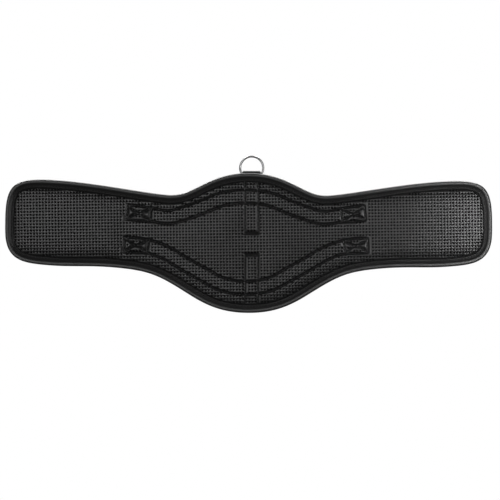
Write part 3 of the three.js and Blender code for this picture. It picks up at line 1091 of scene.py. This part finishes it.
def chape(name, matrix):
    """The webbing fold round the heel bar, with the tongue's slot left open."""
    grip = 110
    radius = 2.5 * MM
    gap = 1.8 * MM
    flaps = [np.array([[-CHAPE_LENGTH, side * gap], [-6 * MM, side * gap]]) for side in (-1, 1)]
    side_view = np.vstack([
        spaced(flaps[0], 1.6 * MM),
        arc(0, 0, radius, -grip, grip, 20),
        spaced(flaps[1][::-1], 1.6 * MM),
    ])
    half = np.linspace(3.2, 12.5, 8) * MM
    across = np.concatenate([-half[::-1], half])
    columns = len(across)
    grid = np.array([[(x, y, z) for z in across] for x, y in side_view])
    along = lengths_along(side_view)
    slotted = side_view[:, 0] > -13 * MM
    faces, uvs = [], []
    for i in range(len(side_view) - 1):
        for j in range(columns - 1):
            if j == len(half) - 1 and slotted[i] and slotted[i + 1]:
                continue
            corners = ((i, j), (i + 1, j), (i + 1, j + 1), (i, j + 1))
            faces.append([a * columns + b for a, b in corners])
            uvs += [(along[a], across[b]) for a, b in corners]
    made = skinned(name + "_chape_web", (grid.reshape(-1, 3), faces, uvs), WEBBING)
    thick = made.modifiers.new("thickness", "SOLIDIFY")
    thick.thickness = 1.25 * MM
    thick.offset = 0
    soft = made.modifiers.new("edges", "BEVEL")
    soft.width = 0.3 * MM
    soft.segments = 2
    soft.limit_method = "ANGLE"
    bake_modifiers(made)
    made.data.transform(matrix)
    settle(made, name + "_strap_end", name + "_chape")


def bake_modifiers(obj):
    mesh = bpy.data.meshes.new_from_object(obj.evaluated_get(bpy.context.evaluated_depsgraph_get()))
    obj.modifiers.clear()
    obj.data = mesh


def buckle_frame(name, matrix):
    """A round-cornered frame whose side bars are a little flattened."""
    half, corner = BUCKLE_HALF_WIDTH, BUCKLE_CORNER
    centres = [
        (BUCKLE_LENGTH - corner, half - corner), (corner, half - corner),
        (corner, -half + corner), (BUCKLE_LENGTH - corner, -half + corner),
    ]
    loop = np.vstack([arc(x, z, corner, 90 * k, 90 * k + 90, 8) for k, (x, z) in enumerate(centres)])
    loop = spaced(loop, 0.8 * MM, closed=True)
    points, faces, uvs = closed_tube(lift(loop, 0), OUT, circle(BUCKLE_WIRE, 16))
    side = smooth_step(np.abs(points[:, 2]), half - 2.5 * MM, half - 0.5 * MM)
    points[:, 1] *= 1 - 0.1 * side
    made = skinned(name + "_frame_wire", (points, faces, uvs), BUCKLE_STEEL, matrix)
    settle(made, name + "_buckle", name + "_buckle_frame")


def buckle_tongue(name, matrix):
    """A tapered rod whose end is curled round the heel bar and whose tip lies on the roller."""
    lean = 4.6
    curl = arc(0, 0, 2.45 * MM, 318, 90 + lean, 26)
    rest = np.array([BUCKLE_LENGTH, 4.35 * MM])
    tip = np.array([BUCKLE_LENGTH + 3.4 * MM, 3.9 * MM])
    sag = (curl[-1] * 2 + rest) / 3 - [0, 0.15 * MM]
    line = np.vstack([curl[:-4], curve_through(np.vstack([curl[-4:], sag, rest, tip]), 1 * MM)])
    path = np.insert(line, 2, 0, axis=1)
    share = lengths_along(path) / lengths_along(path)[-1]
    girth = 1 - 0.28 * smooth_step(share, 0.55, 0.97) - 0.45 * smooth_step(share, 0.965, 1.0)
    girth -= 0.3 * (1 - smooth_step(share, 0.0, 0.03))
    section = circle(1, 14)
    section = np.sign(section) * np.abs(section) ** 0.6
    width = 2.1 * MM * girth[:, None, None] * section[None, :, :1]
    height = 1.1 * MM * girth[:, None, None] * section[None, :, 1:]
    grid = path[:, None] + width * ACROSS + height * np.cross(ACROSS, tangents(path))[:, None]
    made = skinned(name + "_tongue_rod", sweep(grid), BUCKLE_STEEL, matrix)
    settle(made, name + "_tongue", name + "_buckle_tongue")


def roller(name, matrix):
    """A sleeve with rolled ends, two turned grooves and a bore for the front bar."""
    half, out, bore, chamfer = 12 * MM, 3.0 * MM, 1.85 * MM, 0.3 * MM
    grooves = [(0.25, 0.72), (0.12, 0.76), (0.12, 0.8), (0.25, 0.84)]
    cuts = [(0, 0.0), (0, 0.6), *grooves, (0, 0.9), (0.25, 0.97), (0.6, 1.0)]
    right = [(out - cut * MM, share * half) for cut, share in cuts]
    inner = [(bore + chamfer / 2, half), (bore, half - chamfer)]
    wall = [(r, -z) for r, z in right[:0:-1]] + right + inner + [(r, -z) for r, z in inner[::-1]]
    grid = [[(BUCKLE_LENGTH + r * x, r * y, z) for r, z in wall] for x, y in circle(1, 28)]
    made = skinned(name + "_roller_sleeve", sweep(np.array(grid), closed=True), ROLLER_STEEL, matrix)
    settle(made, name + "_roller", name + "_roller")


def end_stitches(name, matrix):
    """The box on the elastic's sewn end, and the rows that close the chape over its other end."""
    half = 10.4 * MM

    def rows(start, end, level, pairs):
        corners = np.array([[start, half], [end, half], [end, -half], [start, -half]])
        lines = [spaced(corners[pair], 1 * MM) for pair in pairs]
        return [np.array([matrix @ Vector((x, level, z)) for x, z in line]) for line in lines]

    frame_pairs = [[0, 1], [1, 2], [2, 3], [3, 0]]
    box = rows(-BAR_TO_BOX - 15.8 * MM, -BAR_TO_BOX + 16.2 * MM, 0.86 * MM, frame_pairs + [[0, 2], [1, 3]])
    stitch_rows(name + "_box_stitches", box, OUT, BODY, 3.4 * MM, 2.7 * MM)
    closing = rows(-36 * MM, -15.5 * MM, 2.42 * MM, frame_pairs)
    stitch_rows(name + "_chape_stitches", closing, OUT, name + "_strap_end", 3.2 * MM, 2.5 * MM)


def strap_end(name):
    """One elastic with its buckle. The elastic runs between the sewn box and the chape."""
    matrix = end_matrix(name)
    web = elastic(name, matrix)
    chape(name, matrix)
    buckle_frame(name, matrix)
    buckle_tongue(name, matrix)
    roller(name, matrix)
    end_stitches(name, matrix)
    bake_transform(web)


# ---- Camera, floor and light ----
VIEW_WIDTH = 0.7
CAMERA_ROLL = math.radians(-0.2)
FLOOR_RADIUS = 4.6
FLOOR_Z = -0.8
FLOOR_SIDES = 96
DOME_STRENGTH = 0.05


def camera():
    """A long lens looking straight along +Y at the horse side."""
    data = bpy.data.cameras.new("camera")
    data.lens = 200
    data.sensor_width = 36
    made = bpy.data.objects.new("camera", data)
    distance = VIEW_WIDTH / data.sensor_width * data.lens
    made.location = (0.002, -distance, -0.0098)
    level = Matrix.Rotation(math.pi / 2, 3, "X")
    made.rotation_euler = (Matrix.Rotation(CAMERA_ROLL, 3, "Y") @ level).to_euler()
    bpy.context.scene.collection.objects.link(made)
    bpy.context.scene.camera = made


def floor():
    """A wide pale disc well below the girth, which throws little light back up at it."""
    s = Shader("floor_paint")
    colour = s.mix(s.noise(s.position(), 3.0), grey(0.80), grey(0.84))
    seen = s.node("LightPath", output="Is Camera Ray")
    paint = s.finish(
        Base_Color=s.mix(seen, grey(0.015), colour),
        Roughness=0.8,
        Specular_IOR_Level=0.1,
        Emission_Color=s.mix(seen, grey(0.0), grey(0.72)),
        Emission_Strength=1.0,
    )
    rim = [(x, y, FLOOR_Z) for x, y in circle(FLOOR_RADIUS, FLOOR_SIDES)]
    mesh_object("floor", rim, [tuple(range(FLOOR_SIDES))], paint, smooth=False)


def area_light(name, place, size, power, target=(0, 0, 0)):
    """A rectangular light at a place, turned to a target. The camera doesn't see it."""
    data = bpy.data.lights.new(name, "AREA")
    data.shape = "RECTANGLE"
    data.size, data.size_y = size
    data.energy = power
    made = bpy.data.objects.new(name, data)
    made.location = place
    made.visible_camera = False
    made.rotation_euler = (Vector(target) - Vector(place)).to_track_quat("-Z", "Y").to_euler()
    bpy.context.scene.collection.objects.link(made)


def world():
    """White to the camera, and a softer dome for light and reflections."""
    made = bpy.data.worlds.new("studio")
    made.use_nodes = True
    tree = made.node_tree
    tree.nodes.clear()
    output = tree.nodes.new("ShaderNodeOutputWorld")
    mix = tree.nodes.new("ShaderNodeMixShader")
    path = tree.nodes.new("ShaderNodeLightPath")
    tree.links.new(path.outputs["Is Camera Ray"], mix.inputs[0])
    for socket, strength in ((1, DOME_STRENGTH), (2, 1.0)):
        glow = tree.nodes.new("ShaderNodeBackground")
        glow.inputs["Color"].default_value = (1, 1, 1, 1)
        glow.inputs["Strength"].default_value = strength
        tree.links.new(glow.outputs[0], mix.inputs[socket])
    tree.links.new(mix.outputs[0], output.inputs["Surface"])
    bpy.context.scene.world = made


def studio():
    """The glance and key lights face the horse side, and the others pick out the rim and the outer side."""
    camera()
    floor()
    world()
    area_light("glance", (0.41, -0.36, 0.04), (0.1, 0.14), 1.0, target=(0.31, 0, 0))
    area_light("key_middle", (0.15, -3.6, 0.3), (0.6, 0.6), 8)
    area_light("key_left", (-0.9, -3.6, 0.3), (0.6, 0.6), 26)
    area_light("low_left", (-1.4, -1.4, -0.6), (1.0, 0.8), 4)
    area_light("top", (0.0, 0.6, 2.8), (2.6, 1.6), 18)
    area_light("back_right", (1.1, 1.8, 3.0), (1.2, 1.0), 170)
    area_light("back_left", (-1.4, 1.9, 2.8), (1.2, 1.0), 190)
    bpy.context.scene.view_settings.view_transform = "Standard"


studio()
liner()
shell()
foam()
binding()
front_stitches()
binding_stitches()
long_strap("front_strap", FRONT_LINE)
long_strap("rear_strap", REAR_LINE)
centre_strap()
dee_ring()
for end_name in STRAP_END_NAMES:
    strap_end(end_name)
